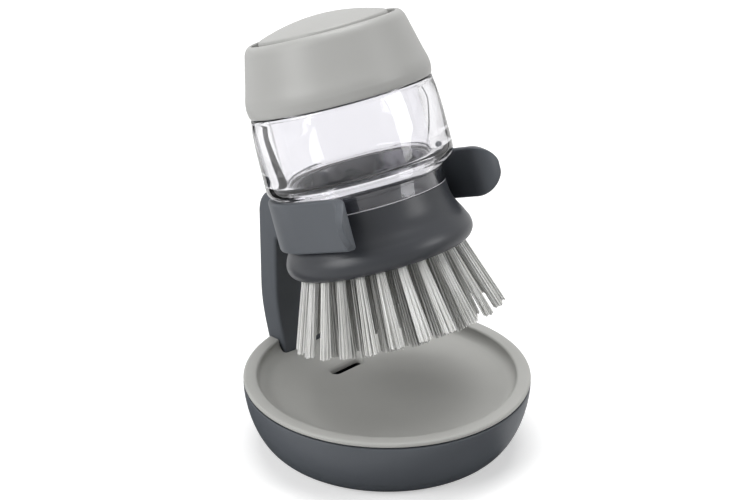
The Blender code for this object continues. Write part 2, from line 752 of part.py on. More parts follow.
def make_bristles(axis):
    """Three rings of tufts, each fused to its slice of the tuft block."""
    rings = zip(TUFT_RING_SHARES, plate_edges())
    for number, ((name, length_share, splay_share), (inner, outer)) in enumerate(rings):
        radius = ring_radius(number)
        length = BRISTLE_LENGTH * length_share
        count = round(math.tau * radius / TUFT_PITCH)
        bm = bmesh.new()
        for tuft in range(count):
            angle = math.tau * tuft / count
            add_tuft(bm, angle, tuft * GOLDEN_ANGLE, radius, length, length * splay_share)
        finish = nylon(f"bristles_{name}_nylon")
        strands = guide(place(f"strands_{name}", bm, finish, axis))
        outline = ring_outline(inner, outer, 0, PLATE_THICKNESS)
        plate = turned(f"bristles_{name}", outline, ROUND_SIDES, finish, axis)
        combine(plate, strands, "UNION")


def make_neck_gasket(axis):
    inner = BOSS_RADIUS + GAP
    outer = inner + NECK_GASKET_WIDTH
    outline = ring_outline(inner, outer, HEAD_HEIGHT - NECK_GASKET_THICKNESS, HEAD_HEIGHT)
    turned("neck_gasket", outline, ROUND_SIDES, rubber("neck_gasket_rubber"), axis)


def make_tank(axis):
    """Clear open-ended cup: threaded mouth, thick wall, shoulder and threaded neck."""
    bore = TANK_RADIUS - TANK_WALL
    mouth_bore = MOUTH_RADIUS - MOUTH_WALL
    shoulder = NECK_TOP + SHOULDER_HEIGHT
    seat = (CAP_BASE_RADIUS, CAP_SEAT)
    widest = (TANK_RADIUS, shoulder + SHOULDER_HEIGHT)
    fillet_top = (bore, shoulder + TANK_FILLET)
    outline = [(mouth_bore, MOUTH_TOP), (MOUTH_RADIUS, MOUTH_TOP), (MOUTH_RADIUS, CAP_SEAT)]
    outline += along(TANK_SIDE_SHARES, seat, widest)
    outline += along(SHOULDER_SHARES, (TANK_RADIUS, shoulder), (NECK_RADIUS, NECK_TOP))
    outline += [(NECK_RADIUS, NECK_BOTTOM), (NECK_BORE, NECK_BOTTOM)]
    outline += along(TANK_FILLET_SHARES, fillet_top, (NECK_BORE, shoulder))[::-1]
    outline += [(bore, CAP_SEAT - MOUTH_WALL), (mouth_bore, CAP_SEAT)]
    turned("tank", outline, BIG_SIDES, clear_plastic("tank_plastic"), axis)


def make_cap_gasket(axis):
    bottom = MOUTH_TOP + GAP
    inner = MOUTH_RADIUS - MOUTH_WALL
    outline = ring_outline(inner, MOUTH_RADIUS, bottom, bottom + CAP_GASKET_THICKNESS)
    turned("cap_gasket", outline, ROUND_SIDES, rubber("cap_gasket_rubber"), axis)


def make_cap(axis):
    """Screw cap: rounded outside, lip, button well with its shelf, threaded skirt inside."""
    shoulder = (CAP_SHOULDER_RADIUS, CAP_TOP - CAP_SHOULDER_DROP)
    belly = (CAP_BELLY_RADIUS, CAP_BOTTOM + CAP_BELLY_Z)
    crown = (WELL_RADIUS + CAP_LIP, CAP_TOP)
    ledge = PUMP_PLATE_TOP + GAP
    shelf_top = SHELF_BOTTOM + WELL_SHELF
    hole = BUTTON_RADIUS + BUTTON_FIT
    room = hole + BUTTON_FLANGE
    outline = [(WELL_RADIUS, CAP_TOP - CAP_LIP / 2)]
    outline += along(CAP_CORNER_SHARES, crown, shoulder)
    outline += along(CAP_SIDE_SHARES, shoulder, belly)[1:]
    outline += [(CAP_BASE_RADIUS, CAP_BOTTOM), (CAP_INNER_RADIUS, CAP_BOTTOM)]
    outline += [(CAP_INNER_RADIUS, ledge), (room, ledge), (room, SHELF_BOTTOM)]
    outline += [(hole, SHELF_BOTTOM), (hole, shelf_top), (WELL_RADIUS, shelf_top)]
    turned("cap_shell", outline, BIG_SIDES, pale_plastic("cap_plastic"), axis)


def make_pump_housing(axis):
    """Plate that closes the tank, with the bellows cup and its ring of air holes."""
    outer = CAP_INNER_RADIUS - PUMP_FIT
    hole = CHECK_STEM_RADIUS + CHECK_FIT
    outline = [(CUP_BORE, PUMP_PLATE_TOP), (outer, PUMP_PLATE_TOP), (outer, PUMP_PLATE_BOTTOM)]
    outline += [(CUP_RADIUS, PUMP_PLATE_BOTTOM), (CUP_RADIUS, CUP_BOTTOM), (hole, CUP_BOTTOM)]
    outline += [(hole, CUP_FLOOR), (CUP_BORE, CUP_FLOOR)]
    housing = turned("pump_housing", outline, ROUND_SIDES, slate_plastic("pump_plastic"), axis)
    ring = (hole + CHECK_RADIUS) / 2
    low = CUP_BOTTOM - OVERRUN
    high = CUP_FLOOR + OVERRUN
    for number in range(AIR_HOLES):
        turn = math.tau * number / AIR_HOLES
        x = ring * math.cos(turn)
        y = ring * math.sin(turn)
        name = f"air_hole_{number}"
        combine(housing, cylinder(name, AIR_HOLE_RADIUS, low, high, x, y, TINY_SIDES, axis))


def make_check_valve(axis):
    """Umbrella under the cup's floor, stem through it and bead above."""
    lip = CUP_BOTTOM - GAP
    bead = CUP_FLOOR + GAP
    outline = [(0, bead + CHECK_BEAD), (CHECK_STEM_RADIUS, bead + CHECK_BEAD)]
    outline += [(CHECK_STEM_RADIUS + CHECK_BEAD, bead), (CHECK_STEM_RADIUS, bead)]
    outline += [(CHECK_STEM_RADIUS, lip), (CHECK_RADIUS, lip)]
    outline += [(CHECK_RADIUS, lip - CHECK_THICKNESS / 2), (0, lip - CHECK_THICKNESS)]
    turned("check_valve", outline, SMALL_SIDES, silicone("check_valve_silicone"), axis)


def make_bellows(axis):
    """Folded silicone tube between the cup's floor and the button."""
    bottom = CUP_FLOOR + GAP
    top = BUTTON_SEAT - GAP
    high = top - BELLOWS_END
    fold = (high - bottom - BELLOWS_END) / BELLOWS_FOLDS
    valley = BELLOWS_RADIUS - BELLOWS_FOLD
    outer = [(BELLOWS_RADIUS, top), (BELLOWS_RADIUS, high)]
    for number in range(BELLOWS_FOLDS):
        here = high - fold * number
        outer += [(valley, here - fold / 2), (BELLOWS_RADIUS, here - fold)]
    outer += [(BELLOWS_RADIUS, bottom)]
    inner = [(radius - BELLOWS_WALL, z) for radius, z in outer]
    finish = silicone("bellows_silicone")
    turned("pump_bellows", outer + inner[::-1], SMALL_SIDES, finish, axis)


def make_spring(axis):
    """One unbroken coil inside the bellows."""
    wire = SPRING_WIRE_RADIUS
    bottom = CUP_FLOOR + GAP + wire
    rise = BUTTON_SEAT - GAP - wire - bottom
    count = SPRING_TURNS * SPRING_POINTS + 1
    curve = bpy.data.curves.new("return_spring", "CURVE")
    curve.dimensions = "3D"
    curve.bevel_depth = wire
    curve.bevel_resolution = 1
    curve.use_fill_caps = True
    spline = curve.splines.new("POLY")
    spline.points.add(count - 1)
    for number, point in enumerate(spline.points):
        share = number / (count - 1)
        turn = math.tau * SPRING_TURNS * share
        x = SPRING_RADIUS * math.cos(turn)
        y = SPRING_RADIUS * math.sin(turn)
        point.co = (x, y, bottom + rise * share, 1)
    print(f"return spring: {(rise / SPRING_TURNS - 2 * wire) / MM:.2f} mm between its curls")
    curve.materials.append(steel("spring_steel"))
    made = bpy.data.objects.new("return_spring", curve)
    made.parent = axis
    bpy.context.collection.objects.link(made)


def dome_z(radius):
    """Height of the button's domed top over a radius."""
    return BUTTON_EDGE_Z + BUTTON_RISE * (1 - (radius / BUTTON_RADIUS) ** 2)


def make_button(axis):
    """Domed button with its skirt, retaining flange, bellows seat and stem."""
    inner = BUTTON_RADIUS - BUTTON_WALL
    flange = BUTTON_RADIUS + BUTTON_FLANGE
    flange_top = BUTTON_BOTTOM + BUTTON_FLANGE_THICKNESS
    seat = BELLOWS_RADIUS + BUTTON_WALL / 2
    stem = SPRING_RADIUS - SPRING_WIRE_RADIUS - STEM_FIT
    stem_end = BUTTON_SEAT - STEM_LENGTH
    dome = [(BUTTON_RADIUS * share, dome_z(BUTTON_RADIUS * share)) for share in DOME_SHARES]
    shell = [(radius, dome_z(radius) - BUTTON_WALL) for radius in (inner, (inner + seat) / 2, seat)]
    rim = BUTTON_RADIUS - BUTTON_EDGE
    outline = dome + [(rim, dome_z(rim)), (BUTTON_RADIUS, BUTTON_EDGE_Z - BUTTON_EDGE)]
    outline += [(BUTTON_RADIUS, flange_top), (flange, flange_top), (flange, BUTTON_BOTTOM)]
    outline += [(inner, BUTTON_BOTTOM)] + shell
    outline += [(seat, BUTTON_SEAT), (stem, BUTTON_SEAT), (stem, stem_end), (0, stem_end)]
    turned("button", outline, ROUND_SIDES, pale_plastic("button_plastic"), axis)


def make_axis():
    """Empty on the brush's axis, at the centre of the head's underside."""
    axis = bpy.data.objects.new("brush_axis", None)
    axis.location = (0, BRUSH_Y, BRUSH_Z)
    axis.rotation_euler = (-LEAN, 0, 0)
    bpy.context.collection.objects.link(axis)
    bpy.context.view_layer.update()
    return axis


def main():
    clear_scene()
    axis = make_axis()
    make_bowl()
    make_pad()
    make_screws()
    make_tray()
    make_post(axis)
    make_head(axis)
    make_slit_valve(axis)
    make_retainer(axis)
    make_bristles(axis)
    make_neck_gasket(axis)
    make_tank(axis)
    make_cap_gasket(axis)
    make_cap(axis)
    make_pump_housing(axis)
    make_check_valve(axis)
    make_bellows(axis)
    make_spring(axis)
    make_button(axis)


main()
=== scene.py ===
"""Palm brush with a clear soap tank, resting in the cradle of its drip stand.

Metres, +Z up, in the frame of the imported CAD. The stand's bowl, pad and tray are turned about Z,
and its post stands at +Y. The brush leans back to the post: its pieces are modelled upright, with
heights from the centre of the head's underside, and lean() tips each one onto the brush's axis.
Outlines are lists of points in millimetres.
"""

import math
import random

import bpy
from mathutils import Matrix, Vector


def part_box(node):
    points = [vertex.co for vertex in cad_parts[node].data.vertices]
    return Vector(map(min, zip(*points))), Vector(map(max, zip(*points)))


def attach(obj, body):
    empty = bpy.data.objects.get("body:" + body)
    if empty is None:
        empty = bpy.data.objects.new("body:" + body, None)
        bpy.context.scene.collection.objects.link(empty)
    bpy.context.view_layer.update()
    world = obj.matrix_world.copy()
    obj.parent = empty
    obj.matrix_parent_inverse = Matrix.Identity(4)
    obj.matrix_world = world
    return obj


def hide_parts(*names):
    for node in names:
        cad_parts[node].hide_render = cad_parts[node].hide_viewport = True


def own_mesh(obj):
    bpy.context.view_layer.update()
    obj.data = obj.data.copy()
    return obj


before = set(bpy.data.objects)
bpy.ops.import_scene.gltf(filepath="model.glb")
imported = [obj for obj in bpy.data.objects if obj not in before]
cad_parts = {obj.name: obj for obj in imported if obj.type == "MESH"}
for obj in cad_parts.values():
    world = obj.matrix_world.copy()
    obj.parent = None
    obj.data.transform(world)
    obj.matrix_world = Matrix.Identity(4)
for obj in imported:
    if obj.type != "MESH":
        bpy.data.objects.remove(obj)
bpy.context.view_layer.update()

# Stand bowl: the dark bowl that catches the drips, injection moulded in slate plastic with a fine
# spark-eroded finish. Its side turns under to a smaller base, with a recess for the pad and two
# countersunk holes for the post's screws.
MM = 0.001
WELD = 0.002 * MM  # points closer together than this become one
SLATE = (0.086, 0.095, 0.108)
BOWL_TOP = 22.4
BOWL_SIDE_TOP = 21.9  # the rounding of the bowl's edge starts here
BOWL_BULGE = 0.59  # 0.5 is a quarter of an ellipse, 1 a straight line


def deselect():
    bpy.ops.object.select_all(action="DESELECT")


def activate(piece):
    deselect()
    piece.select_set(True)
    bpy.context.view_layer.objects.active = piece


def arc(centre, radius, start, end, steps):
    """Points on an arc, from one angle to another in degrees."""
    turns = [math.radians(start + (end - start) * step / steps) for step in range(steps + 1)]
    return [
        (centre[0] + radius * math.cos(turn), centre[1] + radius * math.sin(turn))
        for turn in turns
    ]


def between(before, here, there, after, share):
    """A value part of the way from here to there, on the smooth curve through all four."""
    slope = there - before
    bend = 2 * before - 5 * here + 4 * there - after
    twist = 3 * here - before - 3 * there + after
    return (2 * here + slope * share + bend * share**2 + twist * share**3) / 2


def through(points, steps):
    """A smooth line drawn through an outline's points."""
    line = []
    last = len(points) - 1
    for number in range(last):
        four = [points[min(max(number + step, 0), last)] for step in (-1, 0, 1, 2)]
        for step in range(steps):
            line.append(tuple(between(*values, step / steps) for values in zip(*four)))
    return line + [points[last]]


def draw(name, points):
    """Starts a piece in edit mode as a line, drawn point by point."""
    deselect()
    bpy.ops.mesh.primitive_plane_add(size=MM)
    piece = bpy.context.object
    piece.name = name
    bpy.ops.object.mode_set(mode="EDIT")
    bpy.ops.mesh.select_mode(type="VERT")
    bpy.ops.mesh.select_all(action="SELECT")
    bpy.ops.mesh.merge(type="CENTER")
    bpy.ops.transform.translate(value=[part * MM for part in points[0]])
    for here, there in zip(points, points[1:]):
        step = [(end - start) * MM for start, end in zip(here, there)]
        bpy.ops.mesh.extrude_vertices_move(TRANSFORM_OT_translate={"value": step})
    bpy.ops.mesh.select_all(action="SELECT")
    return piece


def close_mesh():
    """Turns every face outwards and leaves edit mode."""
    bpy.ops.mesh.select_all(action="SELECT")
    bpy.ops.mesh.normals_make_consistent(inside=False)
    bpy.ops.object.mode_set(mode="OBJECT")


def turned(name, outline, sides):
    """A piece turned about Z, from an outline of radius and height."""
    piece = draw(name, [(radius, 0, height) for radius, height in outline])
    bpy.ops.mesh.spin(steps=sides, angle=math.tau, center=(0, 0, 0), axis=(0, 0, 1))
    bpy.ops.mesh.select_all(action="SELECT")
    bpy.ops.mesh.remove_doubles(threshold=WELD)
    close_mesh()
    return piece


def cut(piece, cutter, operation="DIFFERENCE"):
    """Cuts one closed mesh out of another, or joins the two into one."""
    activate(piece)
    step = piece.modifiers.new("cut", "BOOLEAN")
    step.operation = operation
    step.solver = "EXACT"
    step.object = cutter
    bpy.ops.object.modifier_apply(modifier=step.name)
    bpy.data.objects.remove(cutter, do_unlink=True)
    bpy.ops.object.mode_set(mode="EDIT")
    bpy.ops.mesh.select_all(action="SELECT")
    bpy.ops.mesh.dissolve_degenerate(threshold=WELD)
    bpy.ops.object.mode_set(mode="OBJECT")


def drill(piece, spot, radius, bottom, top, sides):
    """Cuts an upright round hole; its radius and heights are in millimetres."""
    deselect()
    bpy.ops.mesh.primitive_cylinder_add(
        vertices=sides,
        radius=radius * MM,
        depth=(top - bottom) * MM,
        location=(spot.x, spot.y, (bottom + top) / 2 * MM),
    )
    cut(piece, bpy.context.object)


def coat(mesh, material):
    """Takes a mesh's materials away and gives it another."""
    mesh.materials.clear()
    mesh.materials.append(material)


def dress(piece, material, body, slot, *nodes, angle=32):
    """Shades a piece, gives it its material, ties it to the body and hides the CAD parts it stands
    for.
    """
    activate(piece)
    bpy.ops.object.transform_apply(location=True, rotation=True, scale=True)
    bpy.ops.object.shade_smooth_by_angle(angle=math.radians(angle))
    coat(piece.data, material)
    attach(piece, body)
    if nodes:
        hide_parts(*nodes)


def node(tree, kind, **values):
    """A shader node with its settings and, by socket name, its inputs."""
    made = tree.nodes.new(kind)
    for key, value in values.items():
        if hasattr(made, key):
            setattr(made, key, value)
        else:
            made.inputs[key.replace("_", " ")].default_value = value
    return made


def moulded_group():
    """Surface of a moulded plastic: a fine eroded grain, with slow changes of tone and gloss."""
    group = bpy.data.node_groups.new("moulded_surface", "ShaderNodeTree")
    for name, side, kind in (
        ("Color", "INPUT", "NodeSocketColor"),
        ("Grain", "INPUT", "NodeSocketFloat"),
        ("Roughness", "INPUT", "NodeSocketFloat"),
        ("Mottle", "INPUT", "NodeSocketFloat"),
        ("Color", "OUTPUT", "NodeSocketColor"),
        ("Roughness", "OUTPUT", "NodeSocketFloat"),
        ("Height", "OUTPUT", "NodeSocketFloat"),
    ):
        group.interface.new_socket(name, in_out=side, socket_type=kind)
    given = node(group, "NodeGroupInput").outputs
    result = node(group, "NodeGroupOutput").inputs
    place = node(group, "ShaderNodeTexCoord").outputs["Object"]
    grain = node(group, "ShaderNodeTexNoise", Detail=2.0, Roughness=0.6)
    slow = node(group, "ShaderNodeTexNoise", Scale=55.0, Detail=3.0, Roughness=0.5)
    tone = node(group, "ShaderNodeMapRange", From_Min=0.3, From_Max=0.7)
    darkest = node(group, "ShaderNodeMath", operation="SUBTRACT")
    lightest = node(group, "ShaderNodeMath", operation="ADD")
    darkest.inputs[0].default_value = lightest.inputs[0].default_value = 1.0
    tint = node(group, "ShaderNodeVectorMath", operation="SCALE")
    gloss = node(
        group, "ShaderNodeMapRange", From_Min=0.25, From_Max=0.75, To_Min=-0.05, To_Max=0.05
    )
    rough = node(group, "ShaderNodeMath", operation="ADD", use_clamp=True)
    link = group.links.new
    link(place, grain.inputs["Vector"])
    link(given["Grain"], grain.inputs["Scale"])
    link(place, slow.inputs["Vector"])
    link(given["Mottle"], darkest.inputs[1])
    link(given["Mottle"], lightest.inputs[1])
    link(slow.outputs["Fac"], tone.inputs["Value"])
    link(darkest.outputs[0], tone.inputs["To Min"])
    link(lightest.outputs[0], tone.inputs["To Max"])
    link(given["Color"], tint.inputs[0])
    link(tone.outputs["Result"], tint.inputs["Scale"])
    link(grain.outputs["Fac"], gloss.inputs["Value"])
    link(gloss.outputs["Result"], rough.inputs[0])
    link(given["Roughness"], rough.inputs[1])
    link(tint.outputs[0], result["Color"])
    link(rough.outputs[0], result["Roughness"])
    link(grain.outputs["Fac"], result["Height"])
    return group


MOULDED = moulded_group()


def principled(name):
    """A new material, with its node tree and its shader."""
    made = bpy.data.materials.new(name)
    made.use_nodes = True
    return made, made.node_tree, made.node_tree.nodes["Principled BSDF"]


def plastic(
    name, colour, roughness, grain=2600.0, depth=0.25, mottle=0.03, metallic=0.0, gloss=0.4
):
    """A material whose colour, roughness and bump come from the moulded surface."""
    made, tree, shader = principled(name)
    shader.inputs["Metallic"].default_value = metallic
    shader.inputs["Specular IOR Level"].default_value = gloss
    surface = tree.nodes.new("ShaderNodeGroup")
    surface.node_tree = MOULDED
    surface.inputs["Color"].default_value = (*colour, 1)
    surface.inputs["Grain"].default_value = grain
    surface.inputs["Roughness"].default_value = roughness
    surface.inputs["Mottle"].default_value = mottle
    bump = node(tree, "ShaderNodeBump", Strength=depth, Distance=0.05 * MM)
    tree.links.new(surface.outputs["Color"], shader.inputs["Base Color"])
    tree.links.new(surface.outputs["Roughness"], shader.inputs["Roughness"])
    tree.links.new(surface.outputs["Height"], bump.inputs["Height"])
    tree.links.new(bump.outputs["Normal"], shader.inputs["Normal"])
    return made


def bowl_side(top, base, low):
    """The bowl's rounded side, from under its edge down to its base."""
    steps = 26
    line = []
    for step in range(steps):
        height = BOWL_TOP - (BOWL_TOP - low) * math.sin(math.pi / 2 * step / steps)
        down = (BOWL_TOP - height) / (BOWL_TOP - low)
        radius = base + (top - base) * (1 - down ** (1 / BOWL_BULGE)) ** BOWL_BULGE
        line.append((radius, height))
    return [point for point in line if point[1] < BOWL_SIDE_TOP]


inside = [(0, 3.6), (37.4, 3.6)] + bowl_side(47.6, 37.6, 3.6)[::-1]
edge = arc((47.9, 22.1), 0.3, 180, 90, 3) + arc((49.7, 22.1), 0.3, 90, 0, 3)
outside = bowl_side(50, 40, 0.5) + [(39.6, 0.5)]
recess = arc((26.7, 0.9), 0.4, 270, 180, 3) + [(26.3, 1.7), (0, 1.7)]
bowl = turned("stand_bowl_shell", inside + edge + outside + recess, 160)
screw_spots = []
for side in ("left", "right"):
    low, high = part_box(f"post_screw_{side}")
    screw_spots.append((low + high) / 2)
for spot in screw_spots:
    drill(bowl, spot, 1.6, -2, 6, 48)
    drill(bowl, spot, 2.9, -2, 2, 48)
dress(bowl, plastic("bowl_plastic", SLATE, 0.46), "stand", "slate_plastic", "stand_bowl")

# Base pad: a soft non-slip disc of black rubber pressed into the recess under the bowl, with
# moulded rings that grip the worktop.
outline = [(0, 1.4), (25.7, 1.4)]
outline += arc((25.7, 1.1), 0.3, 90, 0, 3) + arc((25.6, 0.4), 0.4, 0, -90, 3)
for groove in (23.6, 20.6, 17.6, 14.6):
    outline += [(groove, 0), (groove - 0.3, 0.4), (groove - 1.1, 0.4), (groove - 1.4, 0)]
pad = turned("base_pad_disc", outline + [(0, 0)], 96)
pad_rubber = plastic("pad_rubber", (0.030, 0.032, 0.035), 0.75, grain=1500.0, depth=0.5)
dress(pad, pad_rubber, "stand", "rubber", "base_pad")

# Post and cradle: one slate moulding of foot, post, bridge and open ring. The post's section has
# rounded edges. The ring is a 3 mm band whose arms flare outwards and end in full rounds.
LEAN = math.radians(20.65)
BRUSH_FOOT = (0, 2.3 * MM, 68 * MM)  # the centre of the head's underside
POST_HALF_WIDTH = 10.5
POST_THICKNESS = 8.6
POST_BACK = 49.7  # where the post's outer face stands at the bowl's edge
POST_LEAN = 4  # how far the outer face leans out above that
POST_RISE = 21.6  # the height over which it leans out
POST_CORNER = (53.7, 71.92)  # where the outer face ends and the shoulder starts
BAND_MIDDLE = 19.5  # the height of the band's middle line on the brush
BAND_HALF_HEIGHT = 8.7
BAND_HALF_THICKNESS = 1.5
BAND_EDGE = 0.5  # the rounding of the tips across the thickness
FAR = 99.0  # any distance to the tip that its rounding doesn't reach
TO_TIP = (8.8, 7.6, 6.4, 5.4, 4.5, 3.7, 3, 2.4, 1.9, 1.45, 1.1, 0.8, 0.55, 0.35, 0.2, 0.09, 0.02)


def lean(piece):
    """Tips a piece that was made upright onto the brush's axis."""
    activate(piece)
    piece.matrix_world = Matrix.Translation(BRUSH_FOOT) @ Matrix.Rotation(-LEAN, 4, "X")
    bpy.ops.object.transform_apply(location=True, rotation=True, scale=True)
    return piece


def pick(piece, chosen, mode):
    """Opens a piece for editing with only the chosen vertices, or the edges between them."""
    activate(piece)
    bpy.ops.object.mode_set(mode="EDIT")
    bpy.ops.mesh.select_mode(type=mode)
    bpy.ops.mesh.select_all(action="DESELECT")
    bpy.ops.object.mode_set(mode="OBJECT")
    points = piece.data.vertices
    if mode == "VERT":
        for point in points:
            point.select = chosen(point.co)
    else:
        for side in piece.data.edges:
            side.select = all(chosen(points[index].co) for index in side.vertices)
    bpy.ops.object.mode_set(mode="EDIT")


def rotate(angle, place=(0, 0, 0)):
    """Turns what is selected about an upright line through a place."""
    bpy.ops.transform.rotate(value=angle, orient_axis="Z", center_override=place)


def post_back(height):
    """How far back the post's outer face stands at a height."""
    share = min(max((height - BOWL_TOP) / POST_RISE, 0), 1)
    return POST_BACK + POST_LEAN * math.sin(math.pi / 2 * share)


heights = [BOWL_TOP + POST_RISE * step / 12 for step in range(13)]
foot = [(25.74, 3.9), (36.74, 3.9), (40.92, 7.6), (43.09, 11.3), (44.52, 15.0), (45.44, 18.7)]
foot += [(45.83, 22.7), (49.79, 22.7)]
back = [(post_back(height), height) for height in heights[1:]] + [POST_CORNER]
shoulder = []
for step in range(1, 15):
    turn = math.pi / 2 * step / 14
    shoulder.append((47.13 + 6.57 * math.cos(turn), POST_CORNER[1] + 9 * math.sin(turn)))
bridge = [(41.52, 83.04), (35.59, 67.31), (43.6, 64.29)] + arc((43.5, 62.6), 1.6, 60, 0, 4)
front = [(post_back(height) - POST_THICKNESS, height) for height in heights[::-1]]
front += arc((39.6, 11.9), 1.5, 0, -90, 4) + [(25.74, 10.4)]
outline = foot + back + shoulder + bridge + front
post = draw("cradle_post_moulding", [(-POST_HALF_WIDTH, *point) for point in outline])
bpy.ops.mesh.edge_face_add()
width = (2 * POST_HALF_WIDTH * MM, 0, 0)
bpy.ops.mesh.extrude_region_move(TRANSFORM_OT_translate={"value": width})
close_mesh()
for x in (-POST_HALF_WIDTH, POST_HALF_WIDTH):
    pick(post, lambda co: abs(co.x - x * MM) < 0.01 * MM, "EDGE")
    bpy.ops.mesh.bevel(
        offset=1.3 * MM, segments=5, profile=0.5, affect="EDGES", clamp_overlap=False
    )
    bpy.ops.object.mode_set(mode="OBJECT")


def arm(middle, straight, radius, angle):
    """Middle line of the band from its back to one tip: x, y, heading and distance to the tip."""
    flare = radius * angle
    steps = 26
    stations = []
    for step in range(steps + 1):
        turn = math.pi / 2 * step / steps
        stations.append((middle * math.sin(turn), middle * math.cos(turn), turn, FAR))
    for share in (0.35, 0.6, 0.8, 1):
        left = flare + straight * (1 - share)
        stations.append((middle, -straight * share, math.pi / 2, left))
    for left in TO_TIP:
        turn = (flare - left) / radius
        x = middle + radius * (1 - math.cos(turn))
        y = -straight - radius * math.sin(turn)
        stations.append((x, y, math.pi / 2 - turn, left))
    return stations


def band_half(left):
    """Half the band's height and half its thickness, at a distance from the tip."""
    round_end = BAND_HALF_HEIGHT - min(left, BAND_HALF_HEIGHT)
    round_edge = BAND_EDGE - min(left, BAND_EDGE)
    flat = BAND_HALF_THICKNESS - BAND_EDGE
    return (
        math.sqrt(BAND_HALF_HEIGHT**2 - round_end**2),
        flat + math.sqrt(BAND_EDGE**2 - round_edge**2),
    )


right = arm(31.4, 20.3, 6.2, math.radians(88))
line = [(-x, y, -heading, left) for x, y, heading, left in right[:0:-1]] + right
x, y, heading, left = line[0]
height, thickness = band_half(left)
place = (x * MM, y * MM, BAND_MIDDLE * MM)
deselect()
bpy.ops.mesh.primitive_plane_add(size=MM, rotation=(0, math.pi / 2, 0))
band = bpy.context.object
bpy.ops.object.transform_apply(location=True, rotation=True, scale=True)
bpy.ops.object.mode_set(mode="EDIT")
bpy.ops.mesh.select_all(action="SELECT")
section = (1, 2 * BAND_HALF_THICKNESS, 2 * BAND_HALF_HEIGHT)
bpy.ops.transform.resize(value=section, center_override=(0, 0, 0))
bpy.ops.mesh.bevel(offset=0.9 * MM, segments=5, affect="VERTICES")
bpy.ops.transform.translate(value=place)
tip = (1, thickness / BAND_HALF_THICKNESS, height / BAND_HALF_HEIGHT)
bpy.ops.transform.resize(value=tip, center_override=place)
rotate(heading, place)
for here, there in zip(line, line[1:]):
    shift = ((there[0] - here[0]) * MM, (there[1] - here[1]) * MM, 0)
    bpy.ops.mesh.extrude_region_move(TRANSFORM_OT_translate={"value": shift})
    place = (there[0] * MM, there[1] * MM, BAND_MIDDLE * MM)
    old, new = band_half(here[3]), band_half(there[3])
    if new == old:
        rotate(there[2] - here[2], place)
        continue
    rotate(-here[2], place)
    growth = (1, new[1] / old[1], new[0] / old[0])
    bpy.ops.transform.resize(value=growth, center_override=place)
    rotate(there[2], place)
close_mesh()
cut(post, lean(band), "UNION")
for spot in screw_spots:
    drill(post, spot, 1.6, 0, 9, 32)
dress(post, plastic("post_plastic", SLATE, 0.48), "stand", "slate_plastic", "cradle_post")

# Post screws: two zinc-plated pan-head screws, driven up through the bowl into the post's foot.
# Their heads are sunk in the bowl's underside, beside the pad.
screw_steel = plastic(
    "screw_steel", (0.46, 0.47, 0.49), 0.32, grain=3000.0, depth=0.15, metallic=1.0
)
for side in ("left", "right"):
    coat(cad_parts[f"post_screw_{side}"].data, screw_steel)

# Drip tray: pale grey moulded tray that rests on the bowl's edge by its rolled rim. Its floor falls
# a little to the middle, with a drain slot by the post and a notch that clears the post's foot.
SLOT_HALF_LENGTH = 5.25


def block(size, place=(0, 0, 0)):
    """A square block to cut with; its size and place are in millimetres."""
    deselect()
    bpy.ops.mesh.primitive_cube_add(size=1, location=[part * MM for part in place])
    made = bpy.context.object
    made.scale = [part * MM for part in size]
    bpy.ops.object.transform_apply(location=True, rotation=True, scale=True)
    return made


dish = through([(0, 18.4), (12, 18.52), (22.5, 18.9), (33, 19.38), (40.4, 19.8)], 4)
side = through([(41.4, 19.92), (42.7, 20.3), (43.8, 21.05), (44.6, 22.2), (45, 23.5)], 4)
rim = arc((45.9, 23.6), 0.9, 180, 90, 6) + arc((49.1, 23.6), 0.9, 90, -80, 10)
skirt = [(49.0, 22.7), (47.2, 22.7), (47.2, 18.4)] + arc((46.7, 18.4), 0.5, 0, -90, 3)
underside = [(45.2, 17.9), (22.5, 16.9), (0, 16.4)]
tray = turned("drip_tray_dish", dish + side + rim + skirt + underside, 192)
outline = [(0, 10), (1.9, 10), (1.9, 17.9)] + arc((2.9, 17.9), 1.0, 180, 105, 6)[1:]
slot = turned("slot_cutter", outline + [(3.1, 19.05), (3.1, 30), (0, 30)], 96)
slot.location = (SLOT_HALF_LENGTH * MM, 20 * MM, 0)
bpy.ops.object.transform_apply(location=True)
pick(slot, lambda co: co.x < (SLOT_HALF_LENGTH - 0.001) * MM, "VERT")
bpy.ops.transform.translate(value=(-2 * SLOT_HALF_LENGTH * MM, 0, 0))
close_mesh()
cut(tray, slot)
notch = block((21.8, 12, 20), (0, 46.7, 20))
pick(notch, lambda co: co.y < 45 * MM, "EDGE")
bpy.ops.object.mode_set(mode="OBJECT")
for side in notch.data.edges:
    first, second = (notch.data.vertices[index].co for index in side.vertices)
    side.select = side.select and abs(first.x - second.x) < MM
bpy.ops.object.mode_set(mode="EDIT")
bpy.ops.mesh.bevel(offset=1.4 * MM, segments=6, affect="EDGES")
bpy.ops.object.mode_set(mode="OBJECT")
cut(tray, notch)
tray_plastic = plastic("tray_plastic", (0.46, 0.46, 0.44), 0.45, depth=0.2, mottle=0.015)
dress(tray, tray_plastic, "tray", "tray_plastic", "drip_tray")

# Brush head: slate moulding that flares to a rolled lip over the bristles. Its threaded boss rises
# inside the tank's neck. The cup inside the boss leads the soap down to the slit valve. Its colour
# has a pale patch of painted light, stronger on one side.
BOSS_RADIUS = 24.4
THREAD_HEIGHT = 0.45
THREAD_SUNK = 0.4  # how far its section reaches into the boss
THREAD_PITCH = 4.0
THREAD_TURNS = 1.4
THREAD_STEPS = 60  # in each turn
MIX_A, MIX_B, MIX_RESULT = 6, 7, 2  # the colour sockets of a Mix node

